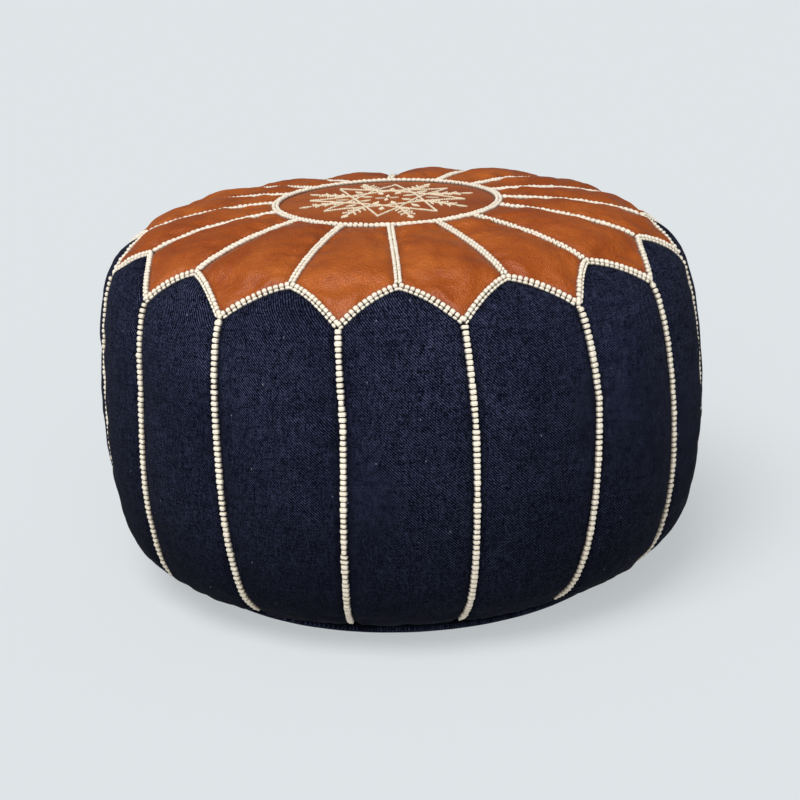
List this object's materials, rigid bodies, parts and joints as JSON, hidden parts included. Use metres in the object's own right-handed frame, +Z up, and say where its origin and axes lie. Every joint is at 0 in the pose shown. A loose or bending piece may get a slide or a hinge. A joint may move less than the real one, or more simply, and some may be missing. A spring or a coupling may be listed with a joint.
{
  "type": "moroccan pouf",
  "caption": "Round stuffed pouf: domed tan leather crown of puffed petals round an embroidered medallion, dark denim sides with pointed tops, thread braid on the seams, zip in the base.",
  "frame": {"origin": "middle of the flat base, on the floor", "axes": "+Z up; -Y is the front, the middle of side_panel_01; the zip runs along X"},
  "size_m": [0.561, 0.561, 0.3477],
  "materials": {
    "leather": "satin",
    "denim": "matte",
    "thread": "satin",
    "calico": "matte",
    "fibre": "matte",
    "zip_tape": "matte",
    "zip_coil": "satin",
    "zip_metal": "satin"
  },
  "bodies": {
    "pouf": {"side_panel_01": "denim", "side_panel_02": "denim", "side_panel_03": "denim", "side_panel_04": "denim", "side_panel_05": "denim", "side_panel_06": "denim", "side_panel_07": "denim", "side_panel_08": "denim", "side_panel_09": "denim", "side_panel_10": "denim", "side_panel_11": "denim", "side_panel_12": "denim", "side_panel_13": "denim", "side_panel_14": "denim", "side_panel_15": "denim", "side_panel_16": "denim", "petal_01": "leather", "petal_02": "leather", "petal_03": "leather", "petal_04": "leather", "petal_05": "leather", "petal_06": "leather", "petal_07": "leather", "petal_08": "leather", "petal_09": "leather", "petal_10": "leather", "petal_11": "leather", "petal_12": "leather", "petal_13": "leather", "petal_14": "leather", "petal_15": "leather", "petal_16": "leather", "medallion": "leather", "medallion_motif": "thread", "side_seam_braid": "thread", "crown_seam_braid": "thread", "base_panel_front": "denim", "base_panel_rear": "denim", "insert_cover_top": "calico", "insert_cover_base": "calico", "fibre_filling": "fibre", "zip_tape_front": "zip_tape", "zip_tape_rear": "zip_tape", "zip_coil_front": "zip_coil", "zip_coil_rear": "zip_coil", "zip_top_stop_front": "zip_metal", "zip_top_stop_rear": "zip_metal", "zip_bottom_stop": "zip_metal"},
    "slider": {"zip_slider": "zip_metal"},
    "pull": {"zip_pull": "zip_metal"}
  },
  "joints": [
    {"name": "zip_slide", "type": "slide", "parent": "pouf", "child": "slider", "axis": [1, 0, 0], "range_m": [0, 0.255]},
    {"name": "pull_hinge", "type": "hinge", "parent": "slider", "child": "pull", "pos_m": [-0.1275, 0, 0.0034], "axis": [0, 1, 0], "range_deg": [0, 180]}
  ]
}
